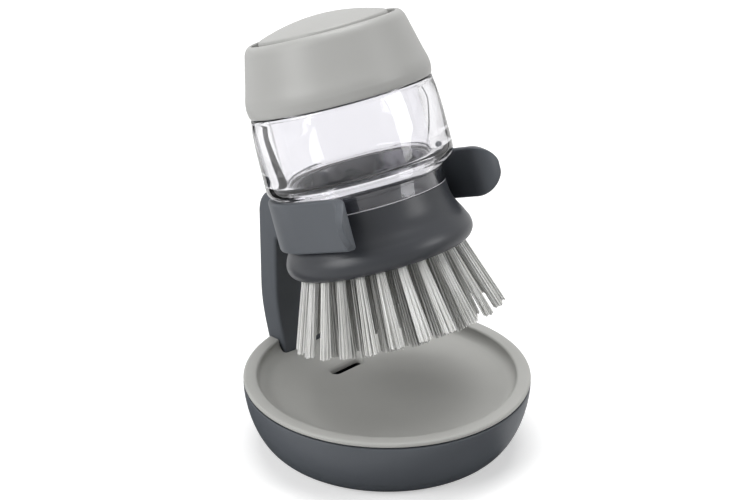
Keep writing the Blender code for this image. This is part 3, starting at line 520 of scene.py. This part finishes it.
cup = [(4.2, 2.9), (4.2, 5.3)] + arc((21.4, 6.3), 1.0, 270, 360, 4) + [(22.4, 29.2)]
boss = arc((22.7, 29.2), 0.3, 180, 90, 3) + arc((24.1, 29.2), 0.3, 90, 0, 3)
boss += [(BOSS_RADIUS, 19.1), (26.4, 19.1), (26.4, 20.2), (26.6, 20.4), (27.0, 20.4)]
flare = [(27.2, 20.4), (27.6, 16.86), (28.2, 14.18), (29.2, 11.86), (30.4, 9.79), (31.2, 8.2)]
flare += [(31.82, 6.99), (32.3, 5.59), (32.5, 4.3), (32.32, 2.88), (31.7, 1.59), (30.8, 0.6)]
flare = through(flare + [(29.8, 0.05)], 4)
lip = [(29.7, 0), (28.7, 0), (28.6, 0.1), (28.6, 2.9), (27.6, 2.9)]
hollow = [(27.4, 10.5), (26.6, 12.5), (25.9, 14.3), (25.4, 16.9), (24.4, 16.9), (24.4, 2.9)]
head = turned("brush_head_moulding", cup + boss + flare + lip + hollow + cup[:1], 160)


def wind(steps, steps_per_turn, rise):
    """Sweeps the selected section up and round Z; the rise of each step is in millimetres."""
    for step in range(steps):
        bpy.ops.mesh.extrude_region_move(TRANSFORM_OT_translate={"value": (0, 0, rise * MM)})
        rotate(-math.tau / steps_per_turn)
    close_mesh()


deselect()
bpy.ops.mesh.primitive_plane_add(size=MM, rotation=(math.pi / 2, 0, 0))
thread = bpy.context.object
bpy.ops.object.transform_apply(location=True, rotation=True, scale=True)
bpy.ops.object.mode_set(mode="EDIT")
bpy.ops.mesh.select_all(action="SELECT")
section = (THREAD_HEIGHT + THREAD_SUNK, 1, 1.5)
bpy.ops.transform.resize(value=section, center_override=(0, 0, 0))
bpy.ops.mesh.bevel(offset=0.35 * MM, segments=3, affect="VERTICES")
middle = BOSS_RADIUS - THREAD_SUNK + (THREAD_HEIGHT + THREAD_SUNK) / 2
bpy.ops.transform.translate(value=(middle * MM, 0, 22.6 * MM))
wind(round(THREAD_TURNS * THREAD_STEPS), THREAD_STEPS, THREAD_PITCH / THREAD_STEPS)
cut(head, thread, "UNION")


def cup_with_painted_light():
    """Polished slate with a pale patch of painted light in blotches, stronger on one side."""
    made = plastic("polished_cup_painted_light", (0.018, 0.022, 0.031), 0.14, depth=0.08, gloss=0.7)
    tree = made.node_tree
    shader = tree.nodes["Principled BSDF"]
    bare = shader.inputs["Base Color"].links[0].from_socket
    place = node(tree, "ShaderNodeTexCoord").outputs["Object"]
    across = node(tree, "ShaderNodeVectorMath", operation="DOT_PRODUCT")
    across.inputs[1].default_value = (0.707, -0.707, 0)
    side = node(
        tree, "ShaderNodeMapRange", From_Min=-0.004, From_Max=0.003, To_Min=0.12, To_Max=1.0
    )
    blotch = node(tree, "ShaderNodeTexNoise", Scale=110.0, Detail=2.0, Roughness=0.5)
    patch = node(tree, "ShaderNodeMapRange", From_Min=0.36, From_Max=0.58)
    # Painted light: the pale colour is a glowing patch on the dark cup, in blotches and strongest
    # on one side.
    painted_light = node(tree, "ShaderNodeMath", operation="MULTIPLY")
    colour = node(tree, "ShaderNodeMix", data_type="RGBA")
    colour.inputs[MIX_B].default_value = (0.50, 0.49, 0.55, 1)
    link = tree.links.new
    link(place, across.inputs[0])
    link(across.outputs["Value"], side.inputs["Value"])
    link(place, blotch.inputs["Vector"])
    link(blotch.outputs["Fac"], patch.inputs["Value"])
    link(side.outputs["Result"], painted_light.inputs[0])
    link(patch.outputs["Result"], painted_light.inputs[1])
    link(painted_light.outputs[0], colour.inputs["Factor"])
    link(bare, colour.inputs[MIX_A])
    link(colour.outputs[MIX_RESULT], shader.inputs["Base Color"])
    return made


def faces_at(piece, chosen):
    """Numbers of the faces chosen by the radius and height of their centres in millimetres."""
    return [
        face.index
        for face in piece.data.polygons
        if chosen(face.center.xy.length / MM, face.center.z / MM)
    ]


def coat_faces(piece, faces, material):
    """Gives some of a dressed piece's faces a second material."""
    piece.data.materials.append(material)
    for index in faces:
        piece.data.polygons[index].material_index = 1


cup_faces = faces_at(head, lambda radius, height: radius < 22.6 and height > 5.2)
head_plastic = plastic("head_plastic", (0.038, 0.041, 0.048), 0.37)
dress(lean(head), head_plastic, "head", "head_plastic", "brush_head")
coat_faces(head, cup_faces, cup_with_painted_light())

# Tuft block: three rings of slate plastic in the head's recess, which hold the roots of the tufts.
# Bristles: 54 tufts of straight off-white nylon filaments that part a little towards their tips.
FILAMENTS = 40
FILAMENT_SIDES = 6
GOLDEN_ANGLE = 2.39996  # packs the filaments evenly in their round hole
ROOT_DEPTH = 2

# radius and count of the tufts, length and splay of each, half its width at the root and at the
# tips, and the inner and outer radius of the ring's slice of the block
TUFT_RINGS = {
    "outer": (26.9, 24, 25.0, 8.4, 1.3, 2.4, 23.55, 28.3),
    "middle": (20.2, 18, 28.0, 5.4, 2.3, 3.4, 16.85, 23.25),
    "inner": (13.5, 12, 29.3, 2.9, 2.6, 3.4, 10.15, 16.55),
}


def nylon(name, low, high):
    """Off-white filament: a slow change of tone, fine drawing marks and a soft gloss."""
    made, tree, shader = principled(name)
    shader.inputs["Roughness"].default_value = 0.38
    shader.inputs["Subsurface Weight"].default_value = 0.35
    shader.inputs["Subsurface Radius"].default_value = (0.0012, 0.0012, 0.0011)
    shader.inputs["Subsurface Scale"].default_value = 1.0
    place = node(tree, "ShaderNodeTexCoord").outputs["Object"]
    streak = node(tree, "ShaderNodeTexNoise", Scale=120.0, Detail=2.0)
    ramp = node(tree, "ShaderNodeValToRGB")
    ramp.color_ramp.elements[0].position = 0.3
    ramp.color_ramp.elements[0].color = (low, low, low * 0.965, 1)
    ramp.color_ramp.elements[1].position = 0.7
    ramp.color_ramp.elements[1].color = (high, high, high * 0.975, 1)
    bump = node(tree, "ShaderNodeBump", Strength=0.2, Distance=0.03 * MM)
    tree.links.new(place, streak.inputs["Vector"])
    tree.links.new(streak.outputs["Fac"], ramp.inputs["Fac"])
    tree.links.new(ramp.outputs["Color"], shader.inputs["Base Color"])
    tree.links.new(streak.outputs["Fac"], bump.inputs["Height"])
    tree.links.new(bump.outputs["Normal"], shader.inputs["Normal"])
    return made


def one_tuft(name, radius, length, splay, root_width, tip_width, dice):
    """A tuft modelled once at +X: filaments packed in a round hole that part towards their tips."""
    deselect()
    bpy.ops.mesh.primitive_plane_add(size=MM)
    tuft = bpy.context.object
    tuft.name = name
    bpy.ops.object.mode_set(mode="EDIT")
    bpy.ops.mesh.select_all(action="SELECT")
    bpy.ops.mesh.delete(type="VERT")
    for number in range(FILAMENTS):
        out = math.sqrt((number + 0.5) / FILAMENTS)
        turn = number * GOLDEN_ANGLE
        across = Vector((out * math.cos(turn), out * math.sin(turn), 0))
        root = Vector((radius + across.x * 1.3, across.y * root_width, ROOT_DEPTH))
        root -= Vector((splay * ROOT_DEPTH / length, 0, 0))
        low = -length + dice.uniform(0, 0.7)
        tip = Vector((radius + splay + across.x * 1.5, across.y * tip_width, low))
        tip += Vector((dice.uniform(-0.15, 0.15), dice.uniform(-0.3, 0.3), 0))
        run = tip - root
        bpy.ops.mesh.primitive_cone_add(
            vertices=FILAMENT_SIDES,
            radius1=0.22 * MM,
            radius2=0.21 * MM,
            depth=run.length * MM,
            location=(root + tip) / 2 * MM,
            rotation=run.to_track_quat("Z", "Y").to_euler(),
        )
    bpy.ops.object.mode_set(mode="OBJECT")
    return tuft


nylons = [
    nylon("nylon_bright", 0.86, 0.93),
    nylon("nylon_plain", 0.74, 0.84),
    nylon("nylon_dark_and_painted_shade", 0.40, 0.52),
]
block_plastic = plastic("tuft_block_plastic", (0.050, 0.054, 0.060), 0.5)
for ring, (radius, count, length, splay, *widths, inside, outside) in TUFT_RINGS.items():
    dice = random.Random(ring)
    first = one_tuft(f"bristles_{ring}_tufts", radius, length, splay, *widths, dice)
    tufts = [first]
    for number in range(1, count):
        activate(first)
        bpy.ops.object.duplicate(linked=False)
        copy = bpy.context.object
        copy.rotation_euler = (0, 0, math.tau * number / count)
        copy.scale = (1, 1 if number % 2 else -1, 1 - dice.uniform(0, 0.02))
        tufts.append(copy)
    activate(first)
    for tuft in tufts:
        tuft.select_set(True)
    bpy.ops.object.join()
    bpy.ops.object.mode_set(mode="EDIT")
    close_mesh()
    dress(lean(first), nylons[0], "head", "nylon", f"bristles_{ring}", angle=50)
    first.data.materials.append(nylons[1])
    first.data.materials.append(nylons[2])
    # Each filament takes one of the three tones at random. The outer ring is mostly bright; the
    # middle and inner rings take only the plain and dark tones, as painted shade deep in the brush.
    choices = (0, 0, 0, 1, 2) if ring == "outer" else (1, 2, 2)
    tones = [dice.choice(choices) for _ in range(FILAMENTS * count)]
    for face in first.data.polygons:
        face.material_index = tones[face.index // (FILAMENT_SIDES + 2)]
    outline = [(inside, 0.2), (inside, 2.6), (outside, 2.6), (outside, 0.2)]
    outline += [(outside - 0.2, 0), (inside + 0.2, 0), (inside, 0.2)]
    holder = lean(turned(f"tuft_block_{ring}", outline, 96))
    dress(holder, block_plastic, "head", "head_plastic", f"bristles_{ring}")

# Slit valve and its retainer: a flanged cup of translucent silicone with a cross slit in its floor,
# which opens under pressure, and the plastic ring that holds its flange up in the head.
silicone = plastic("soft_silicone", (0.60, 0.60, 0.58), 0.42, grain=1800.0, depth=0.1)
inside = [(0, 0.5), (1.6, 0.6)] + arc((1.5, 1.3), 0.6, -60, 0, 3) + [(2.1, 2.6)]
flange = [(6.4, 2.6), (6.6, 2.4), (6.6, 1.8), (6.4, 1.6), (3.0, 1.6)]
outside = [(3.0, 0.4)] + arc((1.4, 0), 1.6, 0, -90, 5) + [(0, -1.6)]
valve = turned("slit_valve_cup", inside + flange + outside, 64)
for slit in ((3, 0.3, 5), (0.3, 3, 5)):
    cut(valve, block(slit))
dress(lean(valve), silicone, "head", "silicone", "slit_valve")
coat(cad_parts["valve_retainer"].data, block_plastic)

# Gaskets: flat black rubber rings with rounded edges. One lies on the head, under the rim of the
# tank's neck, and one on the tank's mouth, under the pump's plate.
gasket_rubber = plastic("gasket_rubber", (0.028, 0.029, 0.031), 0.6, grain=1700.0, depth=0.2)


def ring_seal(name, inside, outside, bottom, top):
    """A leaning ring of rectangular section with rounded edges."""
    edge = (top - bottom) * 0.35
    outline = arc((inside + edge, bottom + edge), edge, 270, 180, 4)
    outline += arc((inside + edge, top - edge), edge, 180, 90, 4)
    outline += arc((outside - edge, top - edge), edge, 90, 0, 4)
    outline += arc((outside - edge, bottom + edge), edge, 0, -90, 4)
    return lean(turned(name, outline + outline[:1], 96))


seal = ring_seal("neck_seal_ring", 24.7, 26.1, 19.4, 20.4)
dress(seal, gasket_rubber, "head_seal", "rubber", "neck_gasket")
seal = ring_seal("cap_seal_ring", 25.2, 27.5, 67.1, 68.3)
dress(seal, gasket_rubber, "cap_seal", "rubber", "cap_gasket")

# Tank: clear thick-walled cup of faintly lilac plastic, polished all over. The end of its neck is
# pale opaque plastic, a painted highlight along its bottom edge. A 6.5 mm wall runs down to a
# rounded shoulder and the narrower neck, which takes the head's boss. The mouth on top takes the
# cap.


def clear_plastic():
    """Polished clear plastic with a faint tint, and slow moulding ripples in its surface."""
    made, tree, shader = principled("tank_clear_plastic")
    shader.inputs["Base Color"].default_value = (0.905, 0.90, 0.925, 1)
    shader.inputs["Transmission Weight"].default_value = 1
    shader.inputs["IOR"].default_value = 1.49
    place = node(tree, "ShaderNodeTexCoord").outputs["Object"]
    ripple = node(tree, "ShaderNodeTexNoise", Scale=45.0, Detail=1.0)
    smear = node(tree, "ShaderNodeMapRange", To_Min=0.0, To_Max=0.03)
    bump = node(tree, "ShaderNodeBump", Strength=0.12, Distance=0.2 * MM)
    tree.links.new(place, ripple.inputs["Vector"])
    tree.links.new(ripple.outputs["Fac"], smear.inputs["Value"])
    tree.links.new(smear.outputs["Result"], shader.inputs["Roughness"])
    tree.links.new(ripple.outputs["Fac"], bump.inputs["Height"])
    tree.links.new(bump.outputs["Normal"], shader.inputs["Normal"])
    return made


mouth = [(25.2, 66.6), (25.4, 66.8), (27.3, 66.8), (27.5, 66.6), (27.5, 56.3), (27.7, 56.1)]
mouth += [(31.2, 56.1), (31.4, 55.9)]
outside = [(31.45, 55.2), (32.0, 51.2), (32.35, 44.3), (32.5, 36.4), (32.5, 31.4), (31.9, 29.6)]
outside += [(30.9, 28.6), (29.8, 27.8), (28.6, 27.0), (27.6, 26.3), (27.3, 25.6)]
outside = through(outside, 5)
neck = [(27.3, 20.95)] + arc((26.9, 20.95), 0.4, 0, -90, 5) + arc((25.3, 20.85), 0.3, 270, 180, 3)
neck += [(25.0, 30.8)]
inside = through([(25.1, 31.2), (25.7, 31.8), (26.0, 32.8)], 4)
inside += through([(26.0, 53.4), (25.9, 54.2), (25.5, 55.6), (25.2, 57.0)], 4)
tank = turned("tank_body", mouth + outside + neck + inside + mouth[:1], 192)
neck_end = faces_at(tank, lambda radius, height: radius > 26.6 and height < 20.9)
dress(lean(tank), clear_plastic(), "bottle", "clear_plastic", "tank", angle=50)
# The neck's end is pale opaque plastic: a painted highlight, the white line along its bottom edge.
neck_highlight = plastic("neck_edge_painted_highlight", (0.80, 0.79, 0.84), 0.45, depth=0.1, mottle=0.02)
coat_faces(tank, neck_end, neck_highlight)

# Pump: the dark plate that closes the tank, with the cup for the bellows. The umbrella valve under
# the cup and the folded bellows are silicone; the return spring stands inside the bellows.
FOLDS = 4
FOLD_STEPS = 12  # in each fold
SPRING_TURNS = 6
SPRING_STEPS = 36  # in each turn
SPRING_BOTTOM, SPRING_TOP = 61.15, 78.85

pump_plastic = plastic("pump_plastic", (0.060, 0.065, 0.072), 0.5)
coat(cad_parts["pump_housing"].data, pump_plastic)
outline = [(0, 61.6), (0.8, 61.6)] + through([(1.0, 61.5), (1.7, 61.1), (1.9, 60.7)], 3)
outline += [(1.0, 60.7), (1.0, 58.5), (4.2, 58.5)]
outline += through([(4.2, 58.3), (2.4, 58.0), (0, 57.9)], 4)
umbrella = turned("check_valve_umbrella", outline, 48)
dress(lean(umbrella), silicone, "cap", "silicone", "check_valve")

folds = []
for step in range(FOLD_STEPS * FOLDS + 1):
    turn = step / FOLD_STEPS
    folds.append((9.1 + 1.1 * math.cos(turn * math.tau), 77.7 - 15.4 * turn / FOLDS))
outside = [(10.2, 79.3)] + folds + [(10.2, 60.7)]
inside = [(radius - 0.9, height) for radius, height in outside]
bellows = turned("pump_bellows_sleeve", outside + inside[::-1] + outside[:1], 72)
dress(lean(bellows), silicone, "cap", "silicone", "pump_bellows")

deselect()
bpy.ops.mesh.primitive_circle_add(
    vertices=10,
    radius=0.45 * MM,
    fill_type="NGON",
    location=(4.9 * MM, 0, SPRING_BOTTOM * MM),
    rotation=(math.pi / 2, 0, 0),
)
spring = bpy.context.object
spring.name = "return_spring_coil"
bpy.ops.object.transform_apply(location=True, rotation=True, scale=True)
bpy.ops.object.mode_set(mode="EDIT")
bpy.ops.mesh.select_all(action="SELECT")
steps = SPRING_TURNS * SPRING_STEPS
wind(steps, SPRING_STEPS, (SPRING_TOP - SPRING_BOTTOM) / steps)
spring_steel = plastic(
    "spring_steel", (0.50, 0.51, 0.52), 0.3, grain=3500.0, depth=0.1, metallic=1.0
)
dress(lean(spring), spring_steel, "cap", "steel", "return_spring")
for piece in (bellows, spring):
    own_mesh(piece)

# Cap: pale warm-grey moulding that screws onto the tank, with a soft outward belly and a rounded
# crown. Its lip stands round the button's well.
PALE = (0.44, 0.44, 0.427)

belly = through([(28.0, 76.3), (28.99, 72.36), (30.59, 65.8), (31.57, 62.3), (31.9, 59.9)], 6)
belly += through([(31.88, 59.3), (31.7, 57.6), (31.45, 56.8)], 3)
inside = [(31.2, 56.5), (28.3, 56.5), (28.1, 56.7), (28.1, 70.7), (24.3, 70.7), (24.3, 75.7)]
inside += [(22.7, 75.7), (22.7, 77.0), (24.9, 77.0), (24.9, 79.5)]
crown = arc((25.3, 79.5), 0.45, 180, 90, 4)
crown += through([(25.6, 79.95), (26.4, 79.5), (27.1, 78.7), (27.65, 77.6), (28.0, 76.3)], 4)
cap = turned("cap_shell_moulding", belly + inside + crown, 192)
cap_plastic = plastic("cap_plastic", PALE, 0.4, depth=0.15, mottle=0.01)
dress(lean(cap), cap_plastic, "cap", "pale_plastic", "cap_shell")

# Button: the same pale plastic, a shallow dome with a rounded edge. Its skirt, flange, bellows
# seat and stem are hidden in the cap.
DOME_RADIUS = 22.3

shares = (0, 0.15, 0.3, 0.45, 0.6, 0.72, 0.84, 0.92)
dome = [(DOME_RADIUS * share, 80.6 + 4 * (1 - share**2)) for share in shares]
edge = through([(21.3, 80.95), (21.95, 80.55), (DOME_RADIUS, 79.7)], 4)
skirt = [(DOME_RADIUS, 75.6), (22.5, 75.4), (23.9, 75.4), (23.9, 74.2), (20.7, 74.2)]
underside = through([(20.7, 78.6), (15.9, 80.9), (11.0, 82.0)], 4) + [(11.0, 79.6)]
stem = [(3.4, 79.6), (3.4, 67.0), (3.0, 66.6), (0, 66.6)]
button = turned("button_dome", dome + edge + skirt + underside + stem, 160)
button_plastic = plastic("button_plastic", PALE, 0.4, depth=0.15, mottle=0.01)
dress(lean(button), button_plastic, "press_button", "pale_plastic", "button")

# Floor: a white sweep that keeps the stand's soft contact shadow. Only reflections and refractions
# see a dark ring on it, off to one side, which gives the clear tank its dark streaks.
RING_CENTRE = (0.250, 0.100, 0)
RING_RADIUS = 0.300
RING_HALF_WIDTH = 0.022
RING_BLUR = 0.008
RING_LEVEL = 0.03  # how much of the floor's brightness is left in the ring
MIRRORED_GLOW = 0.25  # the floor's own light in reflections and refractions


def fade(tree, start, end, low, high):
    """A node that passes softly from one value to another between two distances."""
    return node(
        tree,
        "ShaderNodeMapRange",
        interpolation_type="SMOOTHSTEP",
        From_Min=start,
        From_Max=end,
        To_Min=low,
        To_Max=high,
    )


deselect()
bpy.ops.mesh.primitive_plane_add(size=6)
floor = bpy.context.object
floor.name = "studio_floor"
white, tree, shader = principled("floor_white")
shader.inputs["Roughness"].default_value = 0.8
shader.inputs["Specular IOR Level"].default_value = 0.2
shader.inputs["Emission Color"].default_value = (1, 1, 1, 1)
link = tree.links.new
path = node(tree, "ShaderNodeLightPath").outputs
place = node(tree, "ShaderNodeTexCoord").outputs["Object"]
mirrored = node(tree, "ShaderNodeMath", operation="MAXIMUM")
link(path["Is Glossy Ray"], mirrored.inputs[0])
link(path["Is Transmission Ray"], mirrored.inputs[1])

distance = node(tree, "ShaderNodeVectorMath", operation="DISTANCE")
distance.inputs[1].default_value = RING_CENTRE
off_ring = node(tree, "ShaderNodeMath", operation="SUBTRACT")
off_ring.inputs[1].default_value = RING_RADIUS
apart = node(tree, "ShaderNodeMath", operation="ABSOLUTE")
lit = fade(tree, RING_HALF_WIDTH, RING_HALF_WIDTH + RING_BLUR, RING_LEVEL, 1.0)
dim = node(tree, "ShaderNodeMix", data_type="FLOAT")
dim.inputs["A"].default_value = 1.0
link(place, distance.inputs[0])
link(distance.outputs["Value"], off_ring.inputs[0])
link(off_ring.outputs[0], apart.inputs[0])
link(apart.outputs[0], lit.inputs["Value"])
link(mirrored.outputs[0], dim.inputs["Factor"])
link(lit.outputs["Result"], dim.inputs["B"])

paper = node(tree, "ShaderNodeTexNoise", Scale=30.0)
shade = node(tree, "ShaderNodeMapRange", To_Min=0.77, To_Max=0.79)
colour = node(tree, "ShaderNodeMath", operation="MULTIPLY")
link(place, paper.inputs["Vector"])
link(paper.outputs["Fac"], shade.inputs["Value"])
link(shade.outputs["Result"], colour.inputs[0])
link(dim.outputs["Result"], colour.inputs[1])
link(colour.outputs[0], shader.inputs["Base Color"])

from_middle = node(tree, "ShaderNodeVectorMath", operation="LENGTH")
glow = fade(tree, 0.3, 1.2, 0.45, 1.0)
direct = node(tree, "ShaderNodeMath", operation="MULTIPLY")
either = node(tree, "ShaderNodeMath", operation="MULTIPLY_ADD")
either.inputs[1].default_value = MIRRORED_GLOW
strength = node(tree, "ShaderNodeMath", operation="MULTIPLY")
link(place, from_middle.inputs[0])
link(from_middle.outputs["Value"], glow.inputs["Value"])
link(path["Is Camera Ray"], direct.inputs[0])
link(glow.outputs["Result"], direct.inputs[1])
link(mirrored.outputs[0], either.inputs[0])
link(direct.outputs[0], either.inputs[2])
link(either.outputs[0], strength.inputs[0])
link(dim.outputs["Result"], strength.inputs[1])
link(strength.outputs[0], shader.inputs["Emission Strength"])
floor.data.materials.append(white)

# Light and camera: even studio light from three large panels, and surroundings that are white to
# the eye and in reflections but light the object only faintly. The camera has the photograph's
# view: it stands 0.7 m from the middle of the brush and looks a little past it.
WHITE_LEVEL, AMBIENT_LEVEL = 1.0, 0.08
PHOTO_WIDTH, LENS_IN_PIXELS = 750, 2065.33

world = bpy.data.worlds.new("studio")
world.use_nodes = True
bpy.context.scene.world = world
tree = world.node_tree
tree.nodes.clear()
link = tree.links.new
path = node(tree, "ShaderNodeLightPath").outputs
direct = node(tree, "ShaderNodeMath", operation="MAXIMUM")
seen = node(tree, "ShaderNodeMath", operation="MAXIMUM")
level = node(tree, "ShaderNodeMapRange", To_Min=AMBIENT_LEVEL, To_Max=WHITE_LEVEL)
light = node(tree, "ShaderNodeBackground")
light.inputs["Color"].default_value = (1, 1, 1, 1)
out = node(tree, "ShaderNodeOutputWorld")
link(path["Is Camera Ray"], direct.inputs[0])
link(path["Is Glossy Ray"], direct.inputs[1])
link(direct.outputs[0], seen.inputs[0])
link(path["Is Transmission Ray"], seen.inputs[1])
link(seen.outputs[0], level.inputs["Value"])
link(level.outputs["Result"], light.inputs["Strength"])
link(light.outputs["Background"], out.inputs["Surface"])


def panel(name, place, size, power):
    """A large square light that faces the object."""
    data = bpy.data.lights.new(name, "AREA")
    data.shape = "RECTANGLE"
    data.size = data.size_y = size
    data.energy = power
    lamp = bpy.data.objects.new(name, data)
    lamp.location = place
    lamp.rotation_euler = (Vector(place) - Vector((0, 0, 0.08))).to_track_quat("Z", "Y").to_euler()
    bpy.context.scene.collection.objects.link(lamp)


panel("key_left", (-1.2, 0.3, 0.7), 0.8, 11.4)
panel("top", (0.25, 0.25, 1.4), 1.0, 16)
panel("fill_front", (0.6, -1.2, 0.7), 0.6, 6.1)

camera = bpy.data.cameras.new("camera")
camera.sensor_width = 36
camera.lens = LENS_IN_PIXELS * camera.sensor_width / PHOTO_WIDTH
back = Vector((-0.640107, -0.639460, 0.426092))
sideways = Vector((0.706749, -0.707465, 0))
above = back.cross(sideways)
middle = Vector((0, 0, 0.070))
eye = middle - sideways * 0.004201 + above * 0.000908 + back * 0.699724
viewer = bpy.data.objects.new("camera", camera)
turn = Matrix((sideways, above, back)).transposed().to_4x4()
viewer.matrix_world = Matrix.Translation(eye) @ turn
bpy.context.scene.collection.objects.link(viewer)
bpy.context.scene.camera = viewer
bpy.context.scene.view_settings.view_transform = "Standard"
